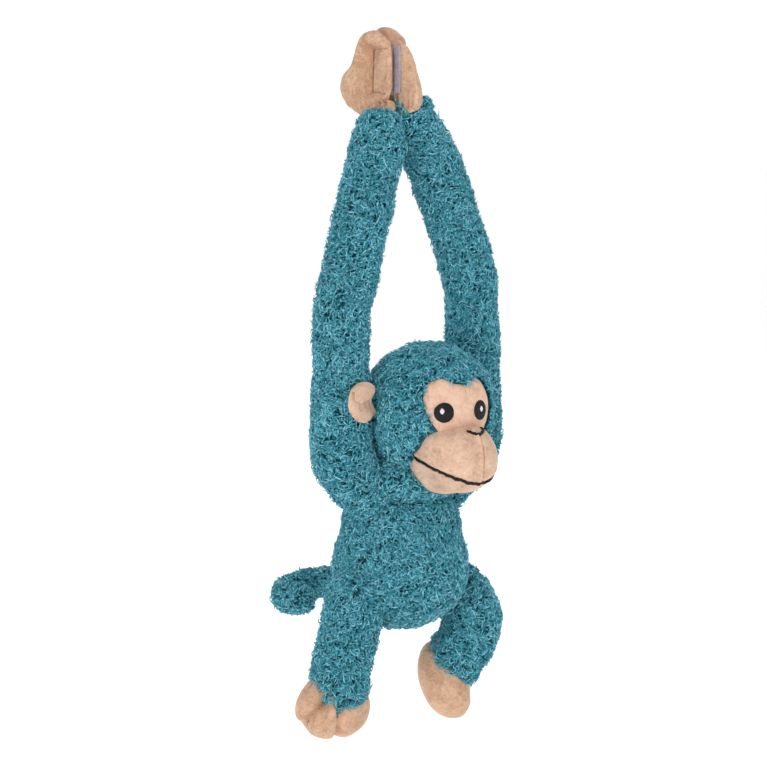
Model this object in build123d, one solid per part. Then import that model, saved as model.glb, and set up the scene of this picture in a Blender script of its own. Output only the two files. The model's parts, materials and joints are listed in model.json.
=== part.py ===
from build123d import *
import os
from math import sin, cos, tan, radians, sqrt, atan2

# Long-armed hanging monkey, a stuffed toy.
# +Z up, the monkey faces -Y, its right side is -X.
# Origin: the point under the joined palms where a rail or hook bears.
# Every body part is a fabric cover round a block of fibre filling.

os.makedirs("parts", exist_ok=True)

# ---------------------------------------------------------------- dimensions
FABRIC = 1.2            # cover thickness, backing plus flattened pile
GAP = 0.35              # clearance between bodies at a joint

# torso: a pear, two balls and the cone that touches both
BELLY_R, BELLY_Z = 47.0, -322.0
CHEST_R, CHEST_Z = 41.0, -298.0

# head: a slightly tall ball, flat where the face patch lies
HEAD_R = 44.5
HEAD_Y = -30.0
HEAD_Z0, HEAD_Z1 = -212.5, -203.5
FACE_Y = -67.0
PATCH_R = 24.0          # face patch, round the middle of the flat
PATCH_Z = -208.0
NECK = (0.0, -12.0, -256.0)
NECK_R = 19.0

# muzzle: a short sideways capsule
MUZ_R = 25.5
MUZ_X = 3.5
MUZ_Y, MUZ_Z = -58.5, -240.0
MOUTH_R, MOUTH_Z = 32.4, -224.6     # circle of the mouth line, seen from the front
NOSE_R, NOSE_Z = 13.0, -206.5       # circle of the nose line
STITCH = 0.8                        # thickness of embroidery

EYE_X, EYE_Z = 16.0, -207.0
EYE_RX, EYE_RZ = 6.6, 7.2
GLINT_R = 1.9

# ears: flat discs hinged at the side of the head
EAR_X, EAR_Y, EAR_Z = 62.0, -33.5, -200.0
EAR_R = 15.0
EAR_T = 7.0
EAR_ROOT_X = 49.5

# arms
SHOULDER = (38.0, -7.0, -269.0)
ARM_BEND = (61.5, -8.0, -239.0)
ELBOW = (61.0, -7.5, -137.0)
FORE_LOW = (54.5, -6.0, -103.0)
FORE_HIGH = (34.0, 1.0, -42.0)
WRIST = (13.7, 6.5, -1.0)
SHOULDER_R = 15.0
ARM_R = 18.0
FORE_R = 18.0
CUFF_R = 13.3
CUFF_TAPER = 26.0
WRIST_R = 11.0
SHOULDER_SPREAD = 90.0

# hands: mittens that lie palm to palm either side of X = 0
PALM_X = 1.4            # outside face of the palm panel
PAD_X = 0.4             # face of the hook or loop pad
HAND_T = 17.4           # back of the hand
RIGHT_HAND = [(-5, 3), (-3, 22), (0, 42), (8, 54), (20, 57), (34, 54), (41, 45),
              (45, 35), (53, 25), (50, 12), (36, 4), (20, 2)]
LEFT_HAND = [(-8, 4), (-12, 15), (-9, 27), (-2, 40), (5, 49), (14, 56), (26, 59),
             (36, 55), (41, 44), (42, 28), (35, 13), (20, 3)]
RIGHT_PAD = (18.0, 29.0, 20.0, 34.0)    # centre y, z, width, height
LEFT_PAD = (12.0, 30.0, 20.0, 34.0)

# legs
R_HIP, R_ANKLE = (-44.0, -3.0, -342.0), (-63.0, -4.0, -402.0)
L_HIP, L_KNEE, L_ANKLE = (43.0, -8.0, -341.0), (53.0, -27.5, -362.0), (41.0, -9.0, -397.0)
LEG_R = 19.5
KNEE_BEND = 26.0
HIP_BACK, HIP_FORWARD = 20.0, 60.0
ANKLE_SWING = 25.0

# feet: padded mittens, toes down
FOOT = (54.0, 41.0, 47.0)
FOOT_ROUND = 17.0
R_FOOT = (-66.0, -4.0, -413.0)
L_FOOT = (36.5, -5.0, -413.0)
L_FOOT_YAW = 52.0
TOE_X = 9.0             # toe lines, either side of the middle toe

# tail
TAIL = [(0, 36, -347), (1, 64, -345), (-4, 88, -345), (-22, 100, -350),
        (-37, 92, -355), (-33, 71, -354)]
TAIL_R = 11.0
TAIL_BENDS = [40.0, 12.0, 12.0, 12.0]
TAIL_SWING = 20.0


# ------------------------------------------------------------------- helpers
def vec(p):
    return Vector(*p)


def flip(p, side):
    """side is +1 for the monkey's left, -1 for its right."""
    return (p[0] * side, p[1], p[2])


def ball(c, r):
    return Pos(*c) * Sphere(r)


def knob(p, r):
    """The round end of a tube of radius r: a trace fuller than the tube."""
    return ball(p, r + 0.06)


def frustum(p, q, r0, r1):
    axis = vec(q) - vec(p)
    place = Plane(origin=tuple(p), z_dir=axis).location
    if abs(r0 - r1) < 1e-6:
        solid = Cylinder(r0, axis.length, align=(Align.CENTER, Align.CENTER, Align.MIN))
    else:
        solid = Cone(r0, r1, axis.length, align=(Align.CENTER, Align.CENTER, Align.MIN))
    return place * solid


def capsule(p, q, r):
    """A rod from p to q with round ends."""
    axis = vec(q) - vec(p)
    n, k = axis.length, r * sqrt(0.5)
    line = (ThreePointArc((0, -r), (k, -k), (r, 0)) + Line((r, 0), (r, n))
            + ThreePointArc((r, n), (k, n + k), (0, n + r)) + Line((0, n + r), (0, -r)))
    solid = revolve(Plane.XZ * make_face(line), axis=Axis.Z)
    return Plane(origin=tuple(p), z_dir=axis).location * solid


def tube(points, r, bends):
    path = FilletPolyline(*[tuple(p) for p in points], radius=bends)
    start = Plane(origin=path @ 0, z_dir=path % 0)
    return sweep(start * Circle(r), path=path)


def along(p, q, d):
    """The point d from p towards q."""
    v = (vec(q) - vec(p)).normalized()
    w = vec(p) + v * d
    return (w.X, w.Y, w.Z)


def block(x0, x1, y0, y1, z0, z1):
    return Pos((x0 + x1) / 2, (y0 + y1) / 2, (z0 + z1) / 2) * Box(x1 - x0, y1 - y0, z1 - z0)


def sweep_room(p, toward, axis, widths, a0, a1):
    """The room that a limb takes as it swings about axis through p.

    toward is a point on the limb, axis is X or Y, widths lists (distance along
    the limb, half width), and a0 and a1 are the swing each way in degrees,
    positive by the right-hand rule about axis.
    """
    d = (vec(toward) - vec(p)).normalized()
    ax = Vector(1, 0, 0) if axis == "X" else Vector(0, 1, 0)
    lean = d.dot(ax)
    out = (d - ax * lean)
    c = out.length
    out = out.normalized()
    slope = lean / c
    low = [(-w / c + s * c * slope, s * c) for s, w in widths]
    high = [(w / c + s * c * slope, s * c) for s, w in widths]
    pts = low + high[::-1]
    frame = Plane(origin=p, x_dir=ax, z_dir=ax.cross(out))
    if (frame.y_dir - out).length > 1e-6:
        raise ValueError("frame")
    pts = [(x + (0.25 if i >= len(low) else -0.25), y) for i, (x, y) in enumerate(pts)]
    face = frame * make_face(Polyline(*pts, close=True))
    turn = Axis(p, tuple(ax))
    room = revolve(face.rotate(turn, a0), axis=turn, revolution_arc=a1 - a0)
    for a in (a0, a1):
        limb = None
        for (s0, w0), (s1, w1) in zip(widths, widths[1:]):
            q0, q1 = along(p, toward, s0), along(p, toward, s1)
            piece = frustum(q0, q1, w0, w1)
            limb = piece if limb is None else limb + piece
        room = room + limb.rotate(turn, a)
    return room + ball(p, widths[0][1] + 0.12)


def put(name, shape):
    solids = shape.solids()
    if len(solids) != 1:
        print("NOTE", name, "has", len(solids), "solids", [round(s.volume, 1) for s in solids])
        big = max(s.volume for s in solids)
        solids = [s for s in solids if s.volume > 0.02 * big]
    export_step(solids[0] if len(solids) == 1 else Compound(children=solids), f"parts/{name}.step")


# --------------------------------------------------------------------- torso
def pear(d):
    a, b = BELLY_R - d, CHEST_R - d
    s = (BELLY_R - CHEST_R) / (CHEST_Z - BELLY_Z)
    c = sqrt(1 - s * s)
    t = [(0, BELLY_Z - a), (a * cos(radians(-20)), BELLY_Z + a * sin(radians(-20))),
         (a * c, BELLY_Z + a * s), (b * c, CHEST_Z + b * s),
         (b * cos(radians(60)), CHEST_Z + b * sin(radians(60))), (0, CHEST_Z + b)]
    line = (ThreePointArc(t[0], t[1], t[2]) + Line(t[2], t[3]) + ThreePointArc(t[3], t[4], t[5])
            + Line(t[5], t[0]))
    return revolve(Plane.XZ * make_face(line), axis=Axis.Z)


def limb_room(d):
    """What the limbs, the neck and the tail take out of the torso."""
    g = GAP + d
    rooms = [ball(NECK, NECK_R + g)]
    for side in (1, -1):
        s, b = flip(SHOULDER, side), flip(ARM_BEND, side)
        turn = (0, SHOULDER_SPREAD) if side == 1 else (-SHOULDER_SPREAD, 0)
        rooms.append(sweep_room(s, b, "Y", [(0, SHOULDER_R + g), (14, ARM_R + g), (45, ARM_R + g)], *turn))
    for hip, knee in ((R_HIP, R_ANKLE), (L_HIP, L_KNEE)):
        rooms.append(sweep_room(hip, knee, "X", [(0, LEG_R + g), (50, LEG_R + g)], -HIP_FORWARD, HIP_BACK))
    rooms.append(sweep_room(TAIL[0], TAIL[1], "X", [(0, TAIL_R + g), (26, TAIL_R + g)], -TAIL_SWING, TAIL_SWING))
    return rooms


torso_outer, torso_inner = pear(0), pear(FABRIC)
for room in limb_room(0):
    torso_outer = torso_outer - room
for room in limb_room(FABRIC):
    torso_inner = torso_inner - room
torso_skin = torso_outer - torso_inner
put("torso_front_cover", torso_skin & block(-90, 90, -90, 0, -400, -200))
put("torso_back_cover", torso_skin & block(-90, 90, 0, 90, -400, -200))
put("torso_filling", torso_inner)


# ---------------------------------------------------------------------- head
def tall_ball(d):
    r = HEAD_R - d
    line = (ThreePointArc((0, HEAD_Z0 - r), (r * cos(radians(45)), HEAD_Z0 - r * sin(radians(45))), (r, HEAD_Z0))
            + Line((r, HEAD_Z0), (r, HEAD_Z1))
            + ThreePointArc((r, HEAD_Z1), (r * cos(radians(45)), HEAD_Z1 + r * sin(radians(45))), (0, HEAD_Z1 + r))
            + Line((0, HEAD_Z1 + r), (0, HEAD_Z0 - r)))
    solid = Pos(0, HEAD_Y, 0) * revolve(Plane.XZ * make_face(line), axis=Axis.Z)
    return solid - block(-60, 60, -120, FACE_Y + d, -300, -120)


def muzzle(d):
    r = MUZ_R - d
    return capsule((-MUZ_X, MUZ_Y, MUZ_Z), (MUZ_X, MUZ_Y, MUZ_Z), r)


def drum(cx, cz, r, y0, y1):
    """A cylinder along Y."""
    return frustum((cx, y0, cz), (cx, y1, cz), r, r)


head_outer, head_inner = tall_ball(0), tall_ball(FABRIC)
head_skin = head_outer - head_inner
patch_room = drum(0, PATCH_Z, PATCH_R, -80, -55)
peak = extrude(Plane(origin=(0, -55, 0), x_dir=(1, 0, 0), z_dir=(0, -1, 0))
               * make_face(Polyline((-13, -180), (0, -189), (13, -180), close=True)), amount=30)
patch_room = patch_room - peak
muzzle_outer, muzzle_inner = muzzle(0), muzzle(FABRIC)
put("face_patch", head_skin & patch_room)
fur = head_skin - patch_room
put("head_gusset", fur & block(-17, 17, -90, 30, -300, -120))
put("head_right_cover", fur & block(-70, -17, -90, 30, -300, -120))
put("head_left_cover", fur & block(17, 70, -90, 30, -300, -120))
put("head_filling", head_inner)
put("neck_filling", ball(NECK, NECK_R) - head_outer)
muzzle_skin = muzzle_outer - muzzle_inner - head_outer
mouth_room = drum(0, MOUTH_Z, MOUTH_R, -120, 0)
put("chin_cover", muzzle_skin - mouth_room)
upper = muzzle_skin & mouth_room
put("muzzle_right_panel", upper & block(-60, 0, -120, 0, -300, -180))
put("muzzle_left_panel", upper & block(0, 60, -120, 0, -300, -180))
put("muzzle_filling", muzzle_inner - head_outer)
thread = muzzle(-STITCH) - muzzle_outer - head_outer
mouth = (thread & drum(0, MOUTH_Z, MOUTH_R + 0.8, -120, 0)) - drum(0, MOUTH_Z, MOUTH_R - 0.8, -121, 1)
put("mouth_stitch", mouth & block(-60, 60, -120, -48, -300, MOUTH_Z - 12))
nose = (thread & drum(0, NOSE_Z, NOSE_R + 0.7, -120, 0)) - drum(0, NOSE_Z, NOSE_R - 0.7, -121, 1)
put("nose_stitch", nose & block(-7.5, 7.5, -120, -60, -300, NOSE_Z - 5))
for side, word in ((-1, "right"), (1, "left")):
    at = Plane(origin=(side * EYE_X, FACE_Y, EYE_Z), x_dir=(1, 0, 0), z_dir=(0, -1, 0))
    put(f"{word}_eye", extrude(at * Ellipse(EYE_RX, EYE_RZ), amount=STITCH))
    shine = Plane(origin=(side * EYE_X - 2.0, FACE_Y - STITCH, EYE_Z + 1.5), x_dir=(1, 0, 0), z_dir=(0, -1, 0))
    put(f"{word}_eye_glint", extrude(shine * Ellipse(GLINT_R * 0.8, GLINT_R), amount=0.5))

# ---------------------------------------------------------------------- ears
for side, word in ((-1, "right"), (1, "left")):
    disc = drum(side * EAR_X, EAR_Z, EAR_R, EAR_Y - EAR_T / 2, EAR_Y + EAR_T / 2)
    disc = fillet(disc.edges().filter_by(GeomType.CIRCLE), 2.6)
    x0, x1 = sorted((side * EAR_ROOT_X, side * 90))
    disc = disc & block(x0, x1, -60, 0, -230, -170)
    root = frustum((side * EAR_ROOT_X, EAR_Y, EAR_Z - 7), (side * EAR_ROOT_X, EAR_Y, EAR_Z + 7), EAR_T / 2, EAR_T / 2)
    ear = disc + root
    put(f"{word}_ear_front", ear & block(-90, 90, -60, EAR_Y, -230, -170))
    put(f"{word}_ear_back", ear & block(-90, 90, EAR_Y, 0, -230, -170))


# ---------------------------------------------------------------------- arms
def upper_arm(side, d):
    s, b, e = flip(SHOULDER, side), flip(ARM_BEND, side), flip(ELBOW, side)
    t = along(s, b, 14)
    return (knob(s, SHOULDER_R - d) + frustum(s, t, SHOULDER_R - d, ARM_R - d)
            + tube([t, b, e], ARM_R - d, [46.0]) + knob(e, ARM_R - d))


def forearm(side, d):
    e, a, b, w = (flip(p, side) for p in (ELBOW, FORE_LOW, FORE_HIGH, WRIST))
    start = along(e, a, 0.8 * ARM_R + d)
    c = along(w, b, CUFF_TAPER)
    end = along(w, b, d)
    r_end = CUFF_R + (FORE_R - CUFF_R) * d / CUFF_TAPER
    arm = tube([start, a, b, c], FORE_R - d, [100.0, 100.0]) + frustum(c, end, FORE_R - d, r_end - d)
    return arm - ball(e, ARM_R + GAP + d) - ball(w, WRIST_R + GAP + d)


def mitten(side, outline, d):
    """The hand's outline in Y and Z, thickened away from the palm."""
    flat = make_face(Polyline(*outline, close=True))
    flat = fillet(flat.vertices(), 5.0)
    if d:
        flat = offset(flat, amount=-d)
    at = Plane(origin=(side * (PALM_X + d), 0, 0), x_dir=(0, 1, 0), z_dir=(1, 0, 0))
    depth = HAND_T - PALM_X - 2 * d
    hand = extrude(at * flat, amount=depth * side)
    far = side * (HAND_T - d)
    rim = [e for e in hand.edges() if abs(e.center().X - far) < 0.01]
    hand = fillet(rim, 6.0 - d)
    return hand + ball(flip(WRIST, side), WRIST_R - d)


for side, word in ((-1, "right"), (1, "left")):
    outer, inner = upper_arm(side, 0), upper_arm(side, FABRIC)
    put(f"{word}_upper_sleeve", outer - inner)
    put(f"{word}_upper_arm_filling", inner)
    outer, inner = forearm(side, 0), forearm(side, FABRIC)
    put(f"{word}_forearm_sleeve", outer - inner)
    put(f"{word}_forearm_filling", inner)
    outline, pad, kind = (RIGHT_HAND, RIGHT_PAD, "hook") if side < 0 else (LEFT_HAND, LEFT_PAD, "loop")
    outer, inner = mitten(side, outline, 0), mitten(side, outline, FABRIC)
    skin = outer - inner
    x0, x1 = sorted((side * PALM_X, side * (PALM_X + FABRIC)))
    slab = block(x0, x1, -60, 90, 2, 90)
    put(f"{word}_hand_palm", skin & slab)
    put(f"{word}_hand_back", skin - slab)
    put(f"{word}_hand_filling", inner)
    x0, x1 = sorted((side * PAD_X, side * PALM_X))
    y, z, w, h = pad
    put(f"{word}_{kind}_pad", block(x0, x1, y - w / 2, y + w / 2, z - h / 2, z + h / 2))


# ---------------------------------------------------------------------- legs
def right_leg(d):
    return capsule(R_HIP, R_ANKLE, LEG_R - d)


def left_leg(d):
    return (knob(L_HIP, LEG_R - d) + tube([L_HIP, L_KNEE, L_ANKLE], LEG_R - d, [KNEE_BEND])
            + knob(L_ANKLE, LEG_R - d))


def foot_block(place, d):
    solid = Box(FOOT[0] - 2 * d, FOOT[1] - 2 * d, FOOT[2] - 2 * d)
    return place * fillet(solid.edges(), FOOT_ROUND - d)


for word, leg, knee, ankle, place in (
        ("right", right_leg, R_HIP, R_ANKLE, Pos(*R_FOOT)),
        ("left", left_leg, L_KNEE, L_ANKLE, Pos(*L_FOOT) * Rot(0, 0, L_FOOT_YAW))):
    outer, inner = leg(0), leg(FABRIC)
    put(f"{word}_leg_cover", outer - inner)
    put(f"{word}_leg_filling", inner)

    def foot(d):
        g = GAP + d
        room = sweep_room(ankle, knee, "X", [(0, LEG_R + g), (45, LEG_R + g)], -ANKLE_SWING, ANKLE_SWING)
        return foot_block(place, d) - room

    outer, inner = foot(0), foot(FABRIC)
    skin = outer - inner
    front = place * block(-60, 60, -60, 0, -60, 60)
    put(f"{word}_foot_upper", skin & front)
    put(f"{word}_foot_sole", skin - front)
    put(f"{word}_foot_filling", inner)
    thread = foot_block(place, -0.7) - foot_block(place, 0)
    lines = [place * block(x - 0.6, x + 0.6, -60, -4, -60, -4) for x in (-TOE_X, TOE_X)]
    stitches = [(thread & line).solids() for line in lines]
    export_step(Compound(children=[s for group in stitches for s in group]), f"parts/{word}_toe_stitches.step")


# ---------------------------------------------------------------------- tail
def tail(d):
    return (knob(TAIL[0], TAIL_R - d) + tube(TAIL, TAIL_R - d, TAIL_BENDS)
            + knob(TAIL[-1], TAIL_R - d))


outer, inner = tail(0), tail(FABRIC)
put("tail_cover", outer - inner)
put("tail_filling", inner)
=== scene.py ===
import bpy, json, math
import numpy as np
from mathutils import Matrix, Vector
from mathutils.geometry import delaunay_2d_cdt


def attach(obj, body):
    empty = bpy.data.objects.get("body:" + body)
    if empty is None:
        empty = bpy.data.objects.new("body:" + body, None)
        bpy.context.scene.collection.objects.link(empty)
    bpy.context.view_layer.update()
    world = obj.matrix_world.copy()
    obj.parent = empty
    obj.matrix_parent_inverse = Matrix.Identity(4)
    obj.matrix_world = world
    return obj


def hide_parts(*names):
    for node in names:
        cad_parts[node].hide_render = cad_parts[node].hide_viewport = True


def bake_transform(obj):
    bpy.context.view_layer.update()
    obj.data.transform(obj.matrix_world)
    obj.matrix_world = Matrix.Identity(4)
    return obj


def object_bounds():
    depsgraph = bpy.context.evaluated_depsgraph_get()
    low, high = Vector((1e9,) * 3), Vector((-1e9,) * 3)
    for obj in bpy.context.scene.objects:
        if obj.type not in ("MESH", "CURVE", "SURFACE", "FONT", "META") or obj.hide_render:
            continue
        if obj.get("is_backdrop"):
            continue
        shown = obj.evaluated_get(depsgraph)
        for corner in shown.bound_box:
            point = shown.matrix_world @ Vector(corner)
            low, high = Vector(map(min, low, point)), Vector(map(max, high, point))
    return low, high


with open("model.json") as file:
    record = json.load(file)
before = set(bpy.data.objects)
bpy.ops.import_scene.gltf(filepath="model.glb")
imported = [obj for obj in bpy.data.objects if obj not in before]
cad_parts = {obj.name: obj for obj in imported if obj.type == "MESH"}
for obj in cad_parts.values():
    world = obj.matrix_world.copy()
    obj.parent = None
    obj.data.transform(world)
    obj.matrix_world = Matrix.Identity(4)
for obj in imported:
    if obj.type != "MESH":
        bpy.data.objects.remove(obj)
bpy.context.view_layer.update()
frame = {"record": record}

JOINT = {j["name"]: np.array(j["pos_m"]) * 1000 for j in frame["record"]["behaviour"]["joints"]}
PILE = 2.3          # how far the fabric lies inside the CAD surface, where the pile stands


# ------------------------------------------------------------------ numbers
def table_of(seed):
    return np.random.default_rng(seed).random(8192)


def vnoise(p, scale, seed=0):
    """Smooth noise from -1 to 1 at points p, in millimetres, with lumps of about that scale."""
    t = table_of(seed)
    q = np.asarray(p, float) / scale
    i = np.floor(q).astype(np.int64)
    f = q - i
    f = f * f * (3 - 2 * f)
    out = 0
    for dx in (0, 1):
        for dy in (0, 1):
            for dz in (0, 1):
                h = ((i[:, 0] + dx) * 73856093 ^ (i[:, 1] + dy) * 19349663 ^ (i[:, 2] + dz) * 83492791) & 8191
                w = (f[:, 0] if dx else 1 - f[:, 0]) * (f[:, 1] if dy else 1 - f[:, 1]) * (f[:, 2] if dz else 1 - f[:, 2])
                out = out + t[h] * w
    return out * 2 - 1


def unit(v):
    return v / np.maximum(np.linalg.norm(v, axis=-1, keepdims=True), 1e-9)


def normals(V, T):
    n = np.cross(V[T[:, 1]] - V[T[:, 0]], V[T[:, 2]] - V[T[:, 0]])
    out = np.zeros_like(V)
    for k in range(3):
        np.add.at(out, T[:, k], n)
    return unit(out)


def tris(Q):
    Q = np.asarray(Q)
    return np.vstack([Q[:, [0, 1, 2]], Q[:, [0, 2, 3]]])


def make(name, V, F, smooth=True, uv=None, attrs=None):
    """A mesh object from points in millimetres and faces that all have the same number of corners."""
    F = np.ascontiguousarray(F, np.int32)
    me = bpy.data.meshes.new(name)
    me.vertices.add(len(V))
    me.vertices.foreach_set("co", (np.asarray(V, np.float64) * 0.001).ravel())
    me.loops.add(F.size)
    me.loops.foreach_set("vertex_index", F.ravel())
    me.polygons.add(len(F))
    me.polygons.foreach_set("loop_start", np.arange(0, F.size, F.shape[1], dtype=np.int32))
    me.update(calc_edges=True)
    me.polygons.foreach_set("use_smooth", np.full(len(F), smooth))
    if uv is not None:
        layer = me.uv_layers.new(name="OFBake")
        layer.data.foreach_set("uv", np.asarray(uv, np.float32).ravel())
    for key, values in (attrs or {}).items():
        a = me.attributes.new(key, "FLOAT", "POINT")
        a.data.foreach_set("value", np.asarray(values, np.float32))
    me.validate()
    o = bpy.data.objects.new(name, me)
    bpy.context.scene.collection.objects.link(o)
    return o


# ---------------------------------------------------------------- materials
def shader(name):
    m = bpy.data.materials.new(name)
    m.use_nodes = True
    nt = m.node_tree
    b = nt.nodes["Principled BSDF"]
    return m, nt, b


def node(nt, kind, **values):
    n = nt.nodes.new(kind)
    for k, v in values.items():
        if k.startswith("in_"):
            n.inputs[int(k[3:])].default_value = v
        else:
            setattr(n, k, v)
    return n


def ramp(nt, stops):
    r = nt.nodes.new("ShaderNodeValToRGB")
    e = r.color_ramp.elements
    while len(e) < len(stops):
        e.new(0.5)
    for el, (at, c) in zip(e, stops):
        el.position = at
        el.color = (*c, 1)
    return r


def pile_material(name, dark, mid, light, tip):
    m, nt, b = shader(name)
    h = node(nt, "ShaderNodeAttribute", attribute_name="h")
    tint = node(nt, "ShaderNodeAttribute", attribute_name="tint")
    mix = node(nt, "ShaderNodeMath", operation="MULTIPLY_ADD")
    nt.links.new(tint.outputs["Fac"], mix.inputs[0])
    mix.inputs[1].default_value = 0.42
    nt.links.new(h.outputs["Fac"], mix.inputs[2])
    sub = node(nt, "ShaderNodeMath", operation="SUBTRACT")
    nt.links.new(mix.outputs[0], sub.inputs[0])
    sub.inputs[1].default_value = 0.21
    # painted shade and light: the ramp runs up each strand by h, from a very dark colour at the root, shade deep in the
    # pile, to a light tip colour, light caught on the tufts; tint adds the yarn's own random tone
    r = ramp(nt, [(0.0, dark), (0.38, mid), (0.75, light), (1.0, tip)])
    nt.links.new(sub.outputs[0], r.inputs[0])
    geo = node(nt, "ShaderNodeTexCoord")
    big = node(nt, "ShaderNodeTexNoise")
    big.inputs["Scale"].default_value = 38
    big.inputs["Detail"].default_value = 3
    nt.links.new(geo.outputs["Object"], big.inputs["Vector"])
    hsv = node(nt, "ShaderNodeHueSaturation")
    span = node(nt, "ShaderNodeMapRange")
    span.inputs["To Min"].default_value = 0.8
    span.inputs["To Max"].default_value = 1.22
    nt.links.new(big.outputs["Fac"], span.inputs["Value"])
    nt.links.new(span.outputs[0], hsv.inputs["Value"])
    nt.links.new(r.outputs[0], hsv.inputs["Color"])
    nt.links.new(hsv.outputs[0], b.inputs["Base Color"])
    b.inputs["Roughness"].default_value = 0.62
    b.inputs["Sheen Weight"].default_value = 0.18
    b.inputs["Sheen Roughness"].default_value = 0.45
    b.inputs["Sheen Tint"].default_value = (0.38, 0.80, 0.9, 1)
    b.inputs["Specular IOR Level"].default_value = 0.35
    return m


def backing_material(name, dark, mid):
    m, nt, b = shader(name)
    geo = node(nt, "ShaderNodeTexCoord")
    v = node(nt, "ShaderNodeTexVoronoi")
    v.inputs["Scale"].default_value = 620
    n = node(nt, "ShaderNodeTexNoise")
    n.inputs["Scale"].default_value = 900
    n.inputs["Detail"].default_value = 4
    nt.links.new(geo.outputs["Object"], v.inputs["Vector"])
    nt.links.new(geo.outputs["Object"], n.inputs["Vector"])
    mul = node(nt, "ShaderNodeMath", operation="MULTIPLY")
    nt.links.new(v.outputs["Distance"], mul.inputs[0])
    nt.links.new(n.outputs["Fac"], mul.inputs[1])
    # painted shade: the backing's teal is kept dark so the gaps between the tufts read as shadow; the fine cell and
    # noise pattern is the fabric's own grain
    r = ramp(nt, [(0.05, dark), (0.6, mid)])
    nt.links.new(mul.outputs[0], r.inputs[0])
    nt.links.new(r.outputs[0], b.inputs["Base Color"])
    bump = node(nt, "ShaderNodeBump")
    bump.inputs["Strength"].default_value = 0.8
    bump.inputs["Distance"].default_value = 0.0012
    nt.links.new(mul.outputs[0], bump.inputs["Height"])
    nt.links.new(bump.outputs[0], b.inputs["Normal"])
    b.inputs["Roughness"].default_value = 0.85
    return m


def velboa_material(name, low, mid, high, nap=(900, 260, 900), streak=90, ruffled=0.32):
    """Short smooth pile: a fine nap that lies one way, with brushed lighter and darker streaks."""
    m, nt, b = shader(name)
    geo = node(nt, "ShaderNodeTexCoord")
    place = node(nt, "ShaderNodeMapping")
    place.inputs["Scale"].default_value = nap
    nt.links.new(geo.outputs["Object"], place.inputs["Vector"])
    fine = node(nt, "ShaderNodeTexNoise")
    fine.inputs["Scale"].default_value = 1.0
    fine.inputs["Detail"].default_value = 5
    fine.inputs["Roughness"].default_value = 0.65
    nt.links.new(place.outputs[0], fine.inputs["Vector"])
    wide = node(nt, "ShaderNodeTexNoise")
    wide.inputs["Scale"].default_value = streak
    wide.inputs["Detail"].default_value = 6
    wide.inputs["Roughness"].default_value = 0.7
    wide.inputs["Distortion"].default_value = 0.8
    nt.links.new(geo.outputs["Object"], wide.inputs["Vector"])
    add = node(nt, "ShaderNodeMath", operation="MULTIPLY_ADD")
    nt.links.new(fine.outputs["Fac"], add.inputs[0])
    add.inputs[1].default_value = 0.55
    nt.links.new(wide.outputs["Fac"], add.inputs[2])
    half = node(nt, "ShaderNodeMath", operation="MULTIPLY")
    nt.links.new(add.outputs[0], half.inputs[0])
    half.inputs[1].default_value = 0.645
    r = ramp(nt, [(0.36, low), (0.5, mid), (0.66, high)])
    nt.links.new(half.outputs[0], r.inputs[0])
    # ruffled areas, where the nap stands up: its shadows are painted into the colour as small dark curly specks
    # (painted shade)
    area = node(nt, "ShaderNodeTexNoise")
    area.inputs["Scale"].default_value = 42
    area.inputs["Detail"].default_value = 3
    nt.links.new(geo.outputs["Object"], area.inputs["Vector"])
    where = node(nt, "ShaderNodeMapRange")
    where.inputs["From Min"].default_value, where.inputs["From Max"].default_value = 0.42, 0.60
    nt.links.new(area.outputs["Fac"], where.inputs["Value"])
    speck = node(nt, "ShaderNodeTexNoise")
    speck.inputs["Scale"].default_value = 640
    speck.inputs["Detail"].default_value = 2
    speck.inputs["Distortion"].default_value = 1.6
    nt.links.new(geo.outputs["Object"], speck.inputs["Vector"])
    dots = node(nt, "ShaderNodeMapRange")
    dots.inputs["From Min"].default_value, dots.inputs["From Max"].default_value = 0.50, 0.66
    dots.inputs["To Max"].default_value = ruffled
    nt.links.new(speck.outputs["Fac"], dots.inputs["Value"])
    much = node(nt, "ShaderNodeMath", operation="MULTIPLY")
    nt.links.new(dots.outputs[0], much.inputs[0])
    nt.links.new(where.outputs[0], much.inputs[1])
    # painted shade: dark specks mixed into the base colour stand in for the shadows of the raised nap
    nap_shadow_specks = nt.nodes.new("ShaderNodeMix")
    nap_shadow_specks.data_type = "RGBA"
    nap_shadow_specks.inputs[7].default_value = (low[0] * 0.62, low[1] * 0.55, low[2] * 0.5, 1)
    nt.links.new(much.outputs[0], nap_shadow_specks.inputs[0])
    nt.links.new(r.outputs[0], nap_shadow_specks.inputs[6])
    nt.links.new(nap_shadow_specks.outputs[2], b.inputs["Base Color"])
    bump = node(nt, "ShaderNodeBump")
    bump.inputs["Strength"].default_value = 0.55
    bump.inputs["Distance"].default_value = 0.0006
    nt.links.new(half.outputs[0], bump.inputs["Height"])
    nt.links.new(bump.outputs[0], b.inputs["Normal"])
    b.inputs["Roughness"].default_value = 0.8
    b.inputs["Sheen Weight"].default_value = 0.45
    b.inputs["Sheen Roughness"].default_value = 0.4
    b.inputs["Sheen Tint"].default_value = (1.0, 0.86, 0.76, 1)
    b.inputs["Subsurface Weight"].default_value = 0.12
    b.inputs["Subsurface Radius"].default_value = (0.004, 0.002, 0.0015)
    b.inputs["Subsurface Scale"].default_value = 0.6
    return m


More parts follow.
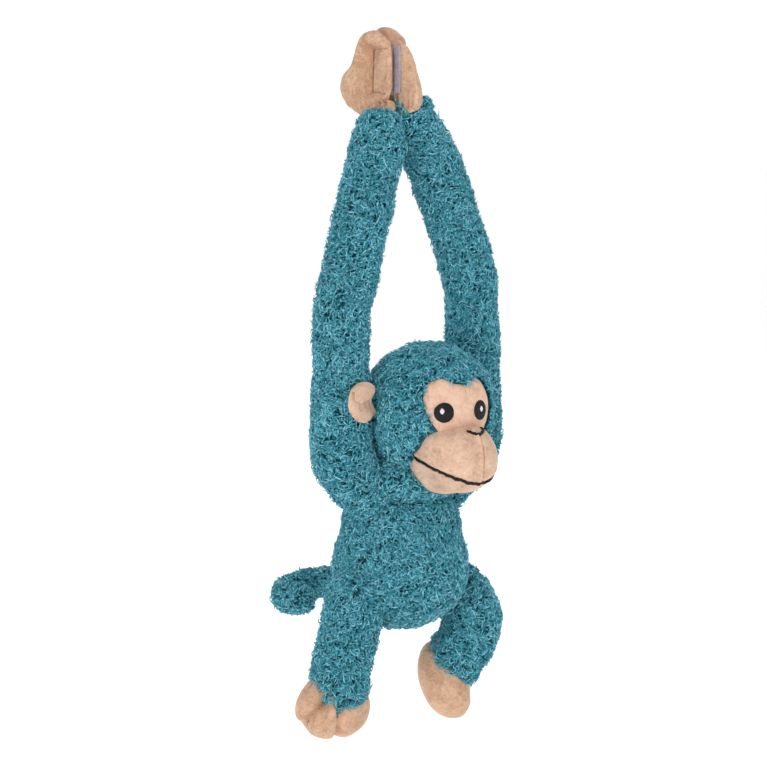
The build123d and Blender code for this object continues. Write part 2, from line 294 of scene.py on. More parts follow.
def thread_material(name, low, high, rough=0.42, spec=0.5):
    m, nt, b = shader(name)
    geo = node(nt, "ShaderNodeTexCoord")
    n = node(nt, "ShaderNodeTexNoise")
    n.inputs["Scale"].default_value = 2600
    n.inputs["Detail"].default_value = 3
    nt.links.new(geo.outputs["Object"], n.inputs["Vector"])
    r = ramp(nt, [(0.35, low), (0.7, high)])
    nt.links.new(n.outputs["Fac"], r.inputs[0])
    nt.links.new(r.outputs[0], b.inputs["Base Color"])
    bump = node(nt, "ShaderNodeBump")
    bump.inputs["Strength"].default_value = 0.4
    bump.inputs["Distance"].default_value = 0.0002
    nt.links.new(n.outputs["Fac"], bump.inputs["Height"])
    nt.links.new(bump.outputs[0], b.inputs["Normal"])
    b.inputs["Roughness"].default_value = rough
    b.inputs["Specular IOR Level"].default_value = spec
    return m


# the teal pile: its dark root colour is painted shade, its light tip colour painted light
TEAL = pile_material("teal_boucle_pile", (0.002, 0.034, 0.050), (0.012, 0.172, 0.232), (0.055, 0.360, 0.460), (0.27, 0.67, 0.79))
# the backing fabric, its teal kept dark as painted shade in the gaps between the tufts
BACK = backing_material("teal_backing", (0.004, 0.06, 0.082), (0.016, 0.17, 0.22))
PEACH = velboa_material("peach_velboa", (0.50, 0.29, 0.18), (0.70, 0.46, 0.325), (0.84, 0.61, 0.46))
FACE = velboa_material("peach_velboa_face", (0.62, 0.37, 0.24), (0.80, 0.52, 0.375), (0.90, 0.64, 0.49), nap=(700, 700, 300))
BLACK = thread_material("black_thread", (0.002, 0.002, 0.003), (0.010, 0.010, 0.013), 0.34, 0.28)
WHITE = thread_material("white_thread", (0.75, 0.75, 0.78), (0.95, 0.95, 0.97))
# the paws' velboa, with stronger painted nap-shadow specks
PAW = velboa_material("peach_velboa_paw", (0.43, 0.235, 0.13), (0.635, 0.39, 0.25), (0.81, 0.56, 0.39), ruffled=0.5)
TAN = thread_material("tan_thread", (0.26, 0.13, 0.08), (0.42, 0.23, 0.15), 0.7, 0.2)
LOOP = velboa_material("loop_tape", (0.36, 0.29, 0.34), (0.46, 0.385, 0.445), (0.60, 0.53, 0.58), nap=(1500, 1500, 1500), streak=420)
HOOK = velboa_material("hook_tape", (0.40, 0.30, 0.26), (0.55, 0.44, 0.38), (0.66, 0.56, 0.50), nap=(1500, 1500, 1500), streak=420)


def dress(o, material, slot, body, *nodes):
    o.data.materials.clear()
    o.data.materials.append(material)
    if isinstance(body, str):
        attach(o, body)
    if nodes:
        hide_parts(*nodes)
    return o


# ------------------------------------------------------------------ surfaces
def spline(points, n=400):
    """A smooth line through points: its n places and distances along it."""
    P = np.asarray(points, float)
    P = np.vstack([2 * P[0] - P[1], P, 2 * P[-1] - P[-2]])
    out = []
    for k in range(1, len(P) - 2):
        u = np.linspace(0, 1, 24, endpoint=False)[:, None]
        a, b, c, d = P[k - 1], P[k], P[k + 1], P[k + 2]
        out.append(0.5 * ((2 * b) + (-a + c) * u + (2 * a - 5 * b + 4 * c - d) * u ** 2 + (-a + 3 * b - 3 * c + d) * u ** 3))
    out = np.vstack(out + [P[-2][None]])
    s = np.r_[0, np.cumsum(np.linalg.norm(np.diff(out, axis=0), axis=1))]
    t = np.linspace(0, s[-1], n)
    return np.stack([np.interp(t, s, out[:, k]) for k in range(3)], 1), t, s[::24][:len(points)]


def tube(points, radii, step=1.3, around=76, lump=0.035, seed=1, tuck=(), caps=(1.0, 1.0)):
    """A stuffed tube with round ends. Returns points, triangles and a bake map."""
    line, t, knots = spline(points)
    r_line = np.interp(t, knots, radii)
    length = t[-1]
    n = max(int(length / step), 8)
    s = np.linspace(0, length, n)
    C = np.stack([np.interp(s, t, line[:, k]) for k in range(3)], 1)
    R = np.interp(s, t, r_line)
    D = unit(np.gradient(C, axis=0))
    ends = np.linspace(0.02, 1, 10)[:-1]
    ring_c, ring_r, ring_d = [], [], []
    for a in ends:            # round cap at the start
        ring_c.append(C[0] - D[0] * R[0] * caps[0] * math.sqrt(1 - a * a)); ring_r.append(R[0] * a); ring_d.append(D[0])
    for k in range(n):
        ring_c.append(C[k]); ring_r.append(R[k]); ring_d.append(D[k])
    for a in ends[::-1]:
        ring_c.append(C[-1] + D[-1] * R[-1] * caps[1] * math.sqrt(1 - a * a)); ring_r.append(R[-1] * a); ring_d.append(D[-1])
    ring_c, ring_r, ring_d = map(np.array, (ring_c, ring_r, ring_d))
    x = unit(np.cross(ring_d[0], (0.0, 1.0, 0.05)))
    frames = []
    for d in ring_d:
        x = unit(x - d * (x @ d))
        frames.append((x, np.cross(d, x)))
    X = np.array([f[0] for f in frames]); Y = np.array([f[1] for f in frames])
    a = np.linspace(0, 2 * math.pi, around, endpoint=False)
    V = ring_c[:, None] + ring_r[:, None, None] * (np.cos(a)[None, :, None] * X[:, None] + np.sin(a)[None, :, None] * Y[:, None])
    m = len(ring_c)
    V = V.reshape(-1, 3)
    out = unit(V - np.repeat(ring_c, around, 0))
    V = V + out * (np.repeat(ring_r, around) * lump * (vnoise(V, 17, seed) + 0.5 * vnoise(V, 8, seed + 1)))[:, None]
    for c, w, depth in tuck:      # soft creases where the tube bends
        V = V - out * (depth * np.exp(-((V - np.array(c)) ** 2).sum(1) / w ** 2))[:, None]
    i, j = np.meshgrid(np.arange(m - 1), np.arange(around), indexing="ij")
    j1 = (j + 1) % around
    Q = np.stack([i * around + j, i * around + j1, (i + 1) * around + j1, (i + 1) * around + j], -1).reshape(-1, 4)
    corner = np.stack([np.stack([j, i], -1), np.stack([j + 1, i], -1), np.stack([j + 1, i + 1], -1), np.stack([j, i + 1], -1)], -2).reshape(-1, 4, 2)
    uvq = 0.01 + 0.98 * corner / np.array([around, m - 1])
    T = tris(Q)
    uv = np.concatenate([uvq[:, [0, 1, 2]], uvq[:, [0, 2, 3]]])
    V = np.vstack([V, ring_c[:1] - ring_d[:1] * 0, ring_c[-1:]])
    k0, k1 = len(V) - 2, len(V) - 1
    jj = np.arange(around); jn = (jj + 1) % around
    cap0 = np.stack([np.full(around, k0), jn, jj], 1)
    cap1 = np.stack([np.full(around, k1), (m - 1) * around + jj, (m - 1) * around + jn], 1)
    T = np.vstack([T, cap0, cap1])
    uv = np.concatenate([uv, np.full((2 * around, 3, 2), 0.004) + np.array([[0, 0], [0.003, 0], [0, 0.003]])])
    return V, T, uv


def outward(V, T):
    """T with every face's normal pointing out, for a closed surface."""
    c = V[T]
    vol = np.einsum("ij,ij->i", c[:, 0], np.cross(c[:, 1], c[:, 2])).sum()
    return T if vol > 0 else T[:, ::-1]


def ball(n):
    """A round cube of directions: unit vectors, triangles and a bake map of six tiles."""
    g = np.tan(np.linspace(-math.pi / 4, math.pi / 4, n + 1))
    u, v = np.meshgrid(g, g, indexing="ij")
    one = np.ones_like(u)
    sides = [(one, u, v), (-one, -u, v), (-u, one, v), (u, -one, v), (-v, u, one), (v, u, -one)]
    P = np.concatenate([np.stack(s, -1).reshape(-1, 3) for s in sides])
    i, j = np.meshgrid(np.arange(n), np.arange(n), indexing="ij")
    q = np.stack([i * (n + 1) + j, (i + 1) * (n + 1) + j, (i + 1) * (n + 1) + j + 1, i * (n + 1) + j + 1], -1).reshape(-1, 4)
    Q = np.concatenate([q + k * (n + 1) ** 2 for k in range(6)])
    cu = np.stack([np.stack([i, j], -1), np.stack([i + 1, j], -1), np.stack([i + 1, j + 1], -1), np.stack([i, j + 1], -1)], -2).reshape(-1, 4, 2) / n
    uv = np.concatenate([(np.array([k % 3, k // 3]) + 0.02 + 0.96 * cu) / np.array([3, 2]) for k in range(6)])
    P = unit(P)
    key = np.round(P * 1e6).astype(np.int64)
    _, first, back = np.unique(key, axis=0, return_index=True, return_inverse=True)
    back = back.reshape(-1)
    Q = back[Q]
    T = tris(Q)
    uvt = np.concatenate([uv[:, [0, 1, 2]], uv[:, [0, 2, 3]]])
    return P[first], T, uvt


def flipped(V, T, uv):
    c = V[T]
    vol = np.einsum("ij,ij->i", c[:, 0], np.cross(c[:, 1], c[:, 2])).sum()
    return (T, uv) if vol > 0 else (T[:, ::-1], uv[:, ::-1])


# ---------------------------------------------------------------------- pile
STRAND_T, STRAND_UV = [], []
for k in range(2):
    for j in range(3):
        a, b, c, d = k * 3 + j, k * 3 + (j + 1) % 3, (k + 1) * 3 + (j + 1) % 3, (k + 1) * 3 + j
        ua, ub = (j / 3, k / 3.2), ((j + 1) / 3, k / 3.2)
        uc, ud = ((j + 1) / 3, (k + 1) / 3.2), (j / 3, (k + 1) / 3.2)
        STRAND_T += [(a, b, c), (a, c, d)]
        STRAND_UV += [(ua, ub, uc), (ua, uc, ud)]
for j in range(3):
    STRAND_T.append((6 + j, 6 + (j + 1) % 3, 9))
    STRAND_UV.append(((j / 3, 2 / 3.2), ((j + 1) / 3, 2 / 3.2), ((j + 0.5) / 3, 2.9 / 3.2)))
STRAND_T.append((0, 2, 1))
STRAND_UV.append(((0, 0.94), (0.2, 0.94), (0.1, 1.0)))
STRAND_T, STRAND_UV = np.array(STRAND_T), np.array(STRAND_UV)


def curls(V, T, keep, per_mm2, length, seed, comb=None, thick=1.0):
    """Curly tufts over a surface: each a closed, tapered, bent strand. Returns points, triangles, map and attributes."""
    g = np.random.default_rng(seed)
    c = V[T]
    area = np.linalg.norm(np.cross(c[:, 1] - c[:, 0], c[:, 2] - c[:, 0]), axis=1) / 2
    mid = c.mean(1)
    weight = area * (keep(mid) if keep else 1.0)
    n = int(weight.sum() * per_mm2)
    f = g.choice(len(T), n, p=weight / weight.sum())
    u, v = g.random(n), g.random(n)
    over = u + v > 1
    u[over], v[over] = 1 - u[over], 1 - v[over]
    P = c[f, 0] + u[:, None] * (c[f, 1] - c[f, 0]) + v[:, None] * (c[f, 2] - c[f, 0])
    VN = normals(V, T)
    N = unit(VN[T[f, 0]] * (1 - u - v)[:, None] + VN[T[f, 1]] * u[:, None] + VN[T[f, 2]] * v[:, None])
    a = unit(np.cross(N, unit(g.normal(size=(n, 3)))))
    # neighbours lean much the same way, so the curls gather in small locks
    field = np.stack([vnoise(P, 4.2, seed + k) for k in (11, 12, 13)], 1)
    field = field - N * (field * N).sum(1, keepdims=True)
    a = unit(0.8 * a + 1.25 * field)
    if comb is not None:
        a = unit(a + comb - N * (N @ comb)[:, None])
    b = np.cross(N, a)
    L = length * (0.72 + 0.56 * g.random(n)) * (1 + 0.25 * vnoise(P, 6.5, seed + 5))
    bend = g.normal(size=n) * 0.75
    rise = 0.62 + 0.42 * g.random(n)
    w = thick * (0.44 + 0.26 * g.random(n))
    p0 = P - N * 0.5
    p1 = P + N * (L * 0.42 * rise)[:, None] + a * (L * 0.22)[:, None]
    p2 = P + N * (L * 0.80 * rise)[:, None] + a * (L * 0.62)[:, None] + b * (L * 0.30 * bend)[:, None]
    p3 = P + N * (L * 0.78 * rise)[:, None] + a * (L * 0.80)[:, None] + b * (L * 0.95 * bend)[:, None]
    rings = []
    pts = [p0, p1, p2, p3]
    for k, width in ((0, 0.85), (1, 1.15), (2, 0.95)):
        d = unit(pts[k + 1] - pts[max(k - 1, 0)])
        s = unit(np.cross(d, b + 0.001))
        t = np.cross(d, s)
        for j in range(3):
            an = 2 * math.pi * j / 3
            rings.append(pts[k] + (w * width)[:, None] * (math.cos(an) * s + math.sin(an) * t))
    rings.append(p3)
    S = np.stack(rings, 1).reshape(-1, 3)
    TT = (STRAND_T[None] + 10 * np.arange(n)[:, None, None]).reshape(-1, 3)
    e = S.reshape(n, 10, 3)
    vol = np.einsum("ij,ij->i", e[:, 6] - e[:, 0], np.cross(e[:, 1] - e[:, 0], e[:, 2] - e[:, 0]))
    TT = TT.reshape(n, -1, 3)
    TT = np.where((vol < 0)[:, None, None], TT[:, :, ::-1], TT).reshape(-1, 3)
    side = int(math.ceil(math.sqrt(n)))
    cell = np.stack([np.arange(n) % side, np.arange(n) // side], 1)
    uv = (cell[:, None, None] + 0.06 + 0.88 * STRAND_UV[None]) / side
    uv = np.where((vol < 0)[:, None, None, None], uv[:, :, ::-1], uv).reshape(-1, 3, 2)
    # h, the height up each strand, feeds the pile's colour ramp: painted shade at the roots, painted light at the tips
    h = np.tile([0.05] * 3 + [0.45] * 3 + [0.8] * 3 + [1.0], n)
    tint = np.repeat(g.random(n), 10)
    return S, TT, uv, {"h": h, "tint": tint}


def fur(name, V, T, keep, seed, per_mm2=0.80, length=4.7, comb=None, thick=1.0):
    S, TT, uv, at = curls(V, T, keep, per_mm2 * (1), length, seed, comb, thick * (1))
    return make(name, S, TT, True, uv, at)


def exit_distance(u, origin, centre, r):
    """How far a line from origin, inside a ball, goes along u before it leaves the ball."""
    m = np.array(centre, float) - np.array(origin, float)
    b = u @ m
    return b + np.sqrt(b * b - m @ m + r * r)


def smooth_min(a, b, k):
    return -np.logaddexp(-a * k, -b * k) / k


def step(x, a, b):
    t = np.clip((x - a) / (b - a), 0, 1)
    return t * t * (3 - 2 * t)


def inside(x, z, poly):
    """Which points of the plane lie in a closed outline."""
    poly = np.asarray(poly, float)
    hit = np.zeros(len(x), bool)
    for (x0, z0), (x1, z1) in zip(poly, np.roll(poly, -1, 0)):
        cross = ((z0 > z) != (z1 > z)) & (x < (x1 - x0) * (z - z0) / (z1 - z0 + 1e-12) + x0)
        hit ^= cross
    return hit


def edge_distance(P, poly, closed=True):
    """Distance of points to an outline or a line, in any number of dimensions."""
    poly = np.asarray(poly, float)
    far = np.full(len(P), 1e9)
    ends = np.roll(poly, -1, 0) if closed else poly[1:]
    for a, b in zip(poly, ends):
        d = b - a
        t = np.clip(((P - a) @ d) / (d @ d), 0, 1)
        far = np.minimum(far, np.linalg.norm(P - a - t[:, None] * d, axis=1))
    return far


def rounded(outline, n=4, closed=True):
    """A smooth closed outline through the given corners."""
    P = np.asarray(outline, float)
    out = []
    for k in range(len(P)):
        a, b, c, d = P[k - 1], P[k], P[(k + 1) % len(P)], P[(k + 2) % len(P)]
        for u in np.linspace(0, 1, n, endpoint=False):
            out.append(0.5 * ((2 * b) + (-a + c) * u + (2 * a - 5 * b + 4 * c - d) * u ** 2 + (-a + 3 * b - 3 * c + d) * u ** 3))
    P = np.array(out)
    s = np.r_[0, np.cumsum(np.linalg.norm(np.diff(np.vstack([P, P[:1]]), axis=0), axis=1))]
    return P, s


def resample(P, spacing):
    Q = np.vstack([P, P[:1]])
    s = np.r_[0, np.cumsum(np.linalg.norm(np.diff(Q, axis=0), axis=1))]
    n = max(int(round(s[-1] / spacing)), 12)
    t = np.linspace(0, s[-1], n, endpoint=False)
    return np.stack([np.interp(t, s, Q[:, k]) for k in range(2)], 1)


def panel(outline, spacing, lines=(), seed=0):
    """A flat panel cut into small triangles: points, triangles, which points lie on the rim and which on the quilt lines."""
    rim = resample(rounded(outline, 8)[0], spacing)
    lo, hi = rim.min(0), rim.max(0)
    rows = []
    y, k = lo[1], 0
    while y < hi[1]:
        rows += [(x, y) for x in np.arange(lo[0] + (k % 2) * spacing / 2, hi[0], spacing)]
        y += spacing * 0.866
        k += 1
    g = np.random.default_rng(seed)
    grid = np.array(rows) + g.normal(size=(len(rows), 2)) * spacing * 0.06
    quilt = []
    for line in lines:
        L = np.array(line, float)
        s = np.r_[0, np.cumsum(np.linalg.norm(np.diff(L, axis=0), axis=1))]
        t = np.linspace(0, s[-1], max(int(s[-1] / spacing) + 1, 2))
        quilt.append(np.stack([np.interp(t, s, L[:, k]) for k in range(2)], 1))
    quilt = np.vstack(quilt) if quilt else np.zeros((0, 2))
    good = inside(grid[:, 0], grid[:, 1], rim) & (edge_distance(grid, rim) > spacing * 0.55)
    if len(quilt):
        near = np.linalg.norm(grid[:, None] - quilt[None], axis=2).min(1)
        good &= near > spacing * 0.6
        quilt = quilt[inside(quilt[:, 0], quilt[:, 1], rim) & (edge_distance(quilt, rim) > spacing * 0.5)]
    P = np.vstack([rim, quilt, grid[good]])
    n, q = len(rim), len(quilt)
    edges = [(i, (i + 1) % n) for i in range(n)]
    v, _, f, ov, *_ = delaunay_2d_cdt([Vector(p) for p in P], edges, [], 1, 1e-6)
    v = np.array([tuple(p) for p in v])
    f = np.array([tuple(t) for t in f if len(t) == 3])
    on_rim = edge_distance(v, rim) < 1e-4
    on_quilt = (np.linalg.norm(v[:, None] - quilt[None], axis=2).min(1) < 1e-4) if q else np.zeros(len(v), bool)
    a = v[f]
    area = (a[:, 1, 0] - a[:, 0, 0]) * (a[:, 2, 1] - a[:, 0, 1]) - (a[:, 2, 0] - a[:, 0, 0]) * (a[:, 1, 1] - a[:, 0, 1])
    f = np.where((area < 0)[:, None], f[:, ::-1], f)
    f = f[np.abs(area) > 1e-7]
    return v, f, on_rim, on_quilt


def pillow(outline, spacing, lines=(), flat=None, pressure=14.0, frames=34, seed=0, loose=0.0, bending=0.25):
    """Two panels sewn at the rim and along the quilt lines, filled by a pressure simulation.
    Returns points (u, v, thickness) in millimetres, triangles, and each point's place on the flat panel."""
    v, f, on_rim, on_quilt = panel(outline, spacing, lines, seed)
    joined = on_rim | on_quilt
    n = len(v)
    second = np.arange(n)
    second[~joined] = n + np.arange((~joined).sum())
    flatv = np.vstack([v, v[~joined]])
    rise = np.concatenate([np.where(joined, 0, 0.4), np.full((~joined).sum(), -0.4)])
    g = np.random.default_rng(seed + 5)
    rise = rise + np.where(rise != 0, 0.12 * g.normal(size=len(rise)), 0)
    V = np.column_stack([flatv, rise])
    F = np.vstack([f, second[f][:, ::-1]])
    SC = 25.0
    o = make("sim_panel", V * (1000 / SC), F)
    o.data.transform  # the mesh is in simulation units
    m = o.modifiers.new("sim", "CLOTH")
    s = m.settings
    s.quality = 7
    s.mass = 0.12
    s.air_damping = 3.0
    s.tension_stiffness = 18.0
    s.compression_stiffness = 6.0
    s.shear_stiffness = 5.0
    s.bending_stiffness = bending
    s.tension_damping = s.compression_damping = s.shear_damping = 8.0
    s.bending_damping = 1.0
    s.use_pressure = True
    s.uniform_pressure_force = pressure
    s.shrink_min = -loose
    s.effector_weights.gravity = 0.0
    m.collision_settings.use_collision = False
    m.collision_settings.use_self_collision = False
    if flat is not None:
        group = o.vertex_groups.new(name="filled")
        off = inside(flatv[:, 0], flatv[:, 1], flat)
        group.add([int(k) for k in np.where(~off)[0]], 1.0, "REPLACE")
        s.vertex_group_pressure = "filled"
    frames = frames
    m.point_cache.frame_start, m.point_cache.frame_end = 1, frames
    scene = bpy.context.scene
    for k in range(1, frames + 1):
        scene.frame_set(k)
    e = o.evaluated_get(bpy.context.evaluated_depsgraph_get())
    me = e.to_mesh()
    out = np.empty(len(me.vertices) * 3, np.float32)
    me.vertices.foreach_get("co", out)
    e.to_mesh_clear()
    mesh = o.data
    bpy.data.objects.remove(o)
    bpy.data.meshes.remove(mesh)
    scene.frame_set(1)
    W = out.reshape(-1, 3).astype(float) * SC
    if not np.isfinite(W).all() or np.abs(W).max() > 400:
        raise RuntimeError("the padded panel's simulation did not settle")
    lo0, hi0 = flatv.min(0), flatv.max(0)
    lo1, hi1 = W[:, :2].min(0), W[:, :2].max(0)
    W[:, :2] = lo0 + (W[:, :2] - lo1) / (hi1 - lo1) * (hi0 - lo0)
    W[:, 2] -= W[:len(v)][on_rim, 2].mean()
    # one pass of smoothing, then the triangles are split for a soft surface
    W = soften(W, F, 2)
    W, F, extra = split(W, F, [flatv])
    W = soften(W, F, 2)
    return W, F, extra[0]


def soften(V, F, times):
    for _ in range(times):
        acc, cnt = np.zeros_like(V), np.zeros(len(V))
        for a, b in ((0, 1), (1, 2), (2, 0)):
            np.add.at(acc, F[:, a], V[F[:, b]])
            np.add.at(acc, F[:, b], V[F[:, a]])
            np.add.at(cnt, F[:, a], 1)
            np.add.at(cnt, F[:, b], 1)
        V = V * 0.5 + 0.5 * acc / np.maximum(cnt, 1)[:, None]
    return V


def split(V, F, extras=()):
    """Each triangle cut in four."""
    E = np.sort(np.vstack([F[:, [0, 1]], F[:, [1, 2]], F[:, [2, 0]]]), axis=1)
    U, back = np.unique(E, axis=0, return_inverse=True)
    back = back.reshape(-1) + len(V)
    n = len(F)
    ab, bc, ca = back[:n], back[n:2 * n], back[2 * n:]
    G = np.vstack([np.stack([F[:, 0], ab, ca], 1), np.stack([ab, F[:, 1], bc], 1), np.stack([ca, bc, F[:, 2]], 1), np.stack([ab, bc, ca], 1)])
    mid = lambda A: np.vstack([A, (A[U[:, 0]] + A[U[:, 1]]) / 2])
    return mid(V), G, [mid(A) for A in extras]


def grooves(V, N, lines, depth, width):
    """Sinks a surface along lines, as where a seam or a fold pulls it in."""
    sink = np.zeros(len(V))
    for line, d, w in zip(lines, depth, width):
        r = edge_distance(V, line, closed=False)
        sink = np.maximum(sink, d * np.exp(-(r / w) ** 1.6))
    return V - N * sink[:, None]


def stitches(path, out, r, length, pitch, seed, ragged=0.25):
    """Short overlapping stitches laid end to end along a path; out points away from the fabric at each point."""
    g = np.random.default_rng(seed)
    s = np.r_[0, np.cumsum(np.linalg.norm(np.diff(path, axis=0), axis=1))]
    V, F, base = [], [], 0
    for t in np.arange(0, s[-1], pitch):
        a = np.array([np.interp(t, s, path[:, k]) for k in range(3)])
        b = np.array([np.interp(min(t + length, s[-1]), s, path[:, k]) for k in range(3)])
        n = unit(np.array([np.interp(t, s, out[:, k]) for k in range(3)]))
        if np.linalg.norm(b - a) < 0.3:
            continue
        d = unit(b - a)
        side = np.cross(d, n)
        a = a + side * r * ragged * g.normal()
        b = b + side * r * ragged * g.normal()
        d = unit(b - a)
        side = np.cross(d, n)
        m, q = 9, 8
        L = np.linalg.norm(b - a)
        for k in range(m):
            u = k / (m - 1)
            w = r * math.sqrt(max(1 - (2 * u - 1) ** 4, 0.02))
            c = a + d * L * u + n * (0.35 * r * math.sin(math.pi * u))
            for h in range(q):
                an = 2 * math.pi * h / q + 0.5 * u
                V.append(c + side * w * math.cos(an) + n * w * 0.8 * math.sin(an))
        for k in range(m - 1):
            for h in range(q):
                x0, x1 = base + k * q + h, base + k * q + (h + 1) % q
                F += [(x0, x1, x1 + q), (x0, x1 + q, x0 + q)]
        for h in range(1, q - 1):
            F.append((base, base + h + 1, base + h))
            e = base + (m - 1) * q
            F.append((e, e + h, e + h + 1))
        base += m * q
    V, F = np.array(V), np.array(F)
    return V, outward(V, F)


# ==================================================================== arms
def mirror(points, side):
    return [(p[0] * side, p[1], p[2]) for p in points]


ARM = [(38, -7, -269), (51.7, -7.6, -251.4), (59, -7.9, -238.2), (61.4, -8, -223.2), (61.5, -8, -180), (61, -7.5, -137),
       (54.5, -6, -103), (34, 1, -42), (24.5, 3.6, -22.5), (16.6, 5.8, -7.0)]
ARM_RAD = [12.8, 16.8, 18.0, 17.3, 15.9, 15.7, 15.7, 15.8, 15.2, 11.6]
LEAN = [0, 0, 0, 0, 0, 2.5, 6.0, 8.0, 6.5, 1.5]        # the right arm runs straighter to the hands than the left
for side, word in ((-1, "right"), (1, "left")):
    seed = 100 if side < 0 else 200
    line, rad = mirror(ARM, side), list(ARM_RAD)
    if side < 0:
        line = [(p[0] + d, p[1], p[2]) for p, d in zip(line, LEAN)]
    else:
        line, rad = line[:-1] + [(17.4, 6.0, -7.0), (15.8, 8.0, 3.5)], rad[:-1] + [14.0, 12.4]
    V, T, uv = tube(line, rad, step=1.25, around=80, lump=0.05, seed=seed, caps=(1.0, 0.35),
                    tuck=[((61 * side + 14 * side, -9, -146), 9, 1.2), ((61 * side - 12 * side, -14, -139), 8, 1.6), ((50 * side, -20, -112), 8, 0.9)])
    T, uv = flipped(V, T, uv)
    base = make(f"{word}_sleeve", V, T, True, uv)
    dress(base, BACK, "teal_boucle", None, f"{word}_upper_sleeve", f"{word}_upper_arm_filling", f"{word}_forearm_sleeve", f"{word}_forearm_filling")
    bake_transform(base)
    for part, test in (("lower", lambda p: p[:, 2] < -137), ("upper", lambda p: p[:, 2] >= -137)):
        o = fur(f"{word}_{part}_sleeve_pile", V, T, test, seed + (5 if part == "lower" else 6))
        dress(o, TEAL, "teal_boucle", None)
        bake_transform(o)

# =================================================================== torso
D, BT, BUV = ball(56)
c0 = np.array([0.0, 0.0, -311.0])
t1, t2 = exit_distance(D, c0, (0, 0, -322), 47 - PILE), exit_distance(D, c0, (0, 0, -298), 41 - PILE)
V = c0 + D * ((t1 ** 24 + t2 ** 24) ** (1 / 24))[:, None]
V = V + D * (1.0 * vnoise(V, 26, 31) + 0.7 * vnoise(V, 11, 32))[:, None]
V[:, 2] += 3.5 * step(-V[:, 2], 335, 370)
V = grooves(V, D, [[(-47, -14, -262), (-42, -34, -285), (-36, -39, -300)]], [1.6], [5])
T, uv = flipped(V, BT, BUV)
torso = make("torso_cover", V, T, True, uv)
dress(torso, BACK, "teal_boucle", "torso", "torso_front_cover", "torso_back_cover", "torso_filling")
for part, test in (("front", lambda p: p[:, 1] < 0), ("back", lambda p: p[:, 1] >= 0)):
    o = fur(f"torso_{part}_pile", V, T, test, 41 if part == "front" else 42)
    dress(o, TEAL, "teal_boucle", "torso")

# ==================================================================== head
HC = np.array([0.0, -30.0, -208.0])
PATCH = rounded([(-3.1, -187.8), (2.4, -187.8), (6, -186), (9, -184.3), (14, -184.3), (19, -187), (23.5, -192), (26.5, -198.5), (26.5, -206), (24.5, -213),
                 (20, -221), (12, -228), (0, -231), (-12, -228), (-21, -220), (-26.5, -212), (-29.3, -204), (-29.3, -196), (-27, -189.5), (-22.5, -185),
                 (-17, -183.3), (-12, -184.8), (-8.9, -187)], 3)[0]


def head_front(x, z):
    """Where the head's fabric lies in front, under the face patch."""
    s = np.clip(1 - (x / 42.2) ** 2 - ((z + 208) / 46.8) ** 2, 0, 1)
    return -30 - smooth_min(42.2 * np.sqrt(s), 39.6, 0.3)


t = 1 / np.sqrt((D[:, 0] / 42.2) ** 2 + (D[:, 1] / 42.2) ** 2 + (D[:, 2] / 46.8) ** 2)
V = D * t[:, None]
V = V + D * (0.8 * vnoise(V, 24, 51) + 0.5 * vnoise(V, 10, 52))[:, None]
V[:, 1] = np.where(V[:, 1] < 0, -smooth_min(-V[:, 1], 39.6, 0.3), V[:, 1])
V = V + HC
V[:, 2] -= 3.0 * step(V[:, 2], -192, -162)
V = V - D * (0.9 * np.exp(-((np.abs(V[:, 0]) - 17) / 1.4) ** 2) * (V[:, 2] > -200))[:, None]
T, uv = flipped(V, BT, BUV)
head = make("head_cover", V, T, True, uv)
dress(head, BACK, "teal_boucle", "head", "head_gusset", "head_right_cover", "head_left_cover", "head_filling", "neck_filling")
small_patch = np.array([0, -208]) + (PATCH - np.array([0, -208])) * 1.02


def head_keep(p):
    face = (p[:, 1] < -52) & inside(p[:, 0], p[:, 2], small_patch)
    lz = p[:, 2] + 240
    wide = 31.5 * np.where(p[:, 0] < 0, 1 + 0.18 * step(lz, 4, 22), 1 - 0.10 * step(lz, -6, 24)) * (1 - 0.17 * step(-lz, -2, 21))
    snout = ((np.abs(p[:, 1] + 55.5) / 31) ** 3 + (np.abs(lz) / 28.0) ** 3) ** (2.3 / 3) + (np.abs(p[:, 0]) / wide) ** 2.3 < 1
    eye = (p[:, 1] < -45) & (np.hypot(p[:, 0] + 20.5, p[:, 2] + 211.5) < 7.6)
    return ~(face | snout | eye)


for part, test in (("front", lambda p: head_keep(p) & (p[:, 1] < -34)), ("back", lambda p: head_keep(p) & (p[:, 1] >= -34))):
    o = fur(f"head_{part}_pile", V, T, test, 61 if part == "front" else 62)
    dress(o, TEAL, "teal_boucle", "head")

# the neck, stuffed fabric between head and torso
V = np.array([0, -13, -256.0]) + D * np.array([39.0, 28.0, 17.0])
V = V + D * (0.8 * vnoise(V, 14, 53))[:, None]
T, uv = flipped(V, BT, BUV)
neck = make("neck_cover", V, T, True, uv)
dress(neck, BACK, "teal_boucle", "head")
o = fur("neck_pile", V, T, lambda p: np.abs(p[:, 2] + 256) < 15, 63)
dress(o, TEAL, "teal_boucle", "head")

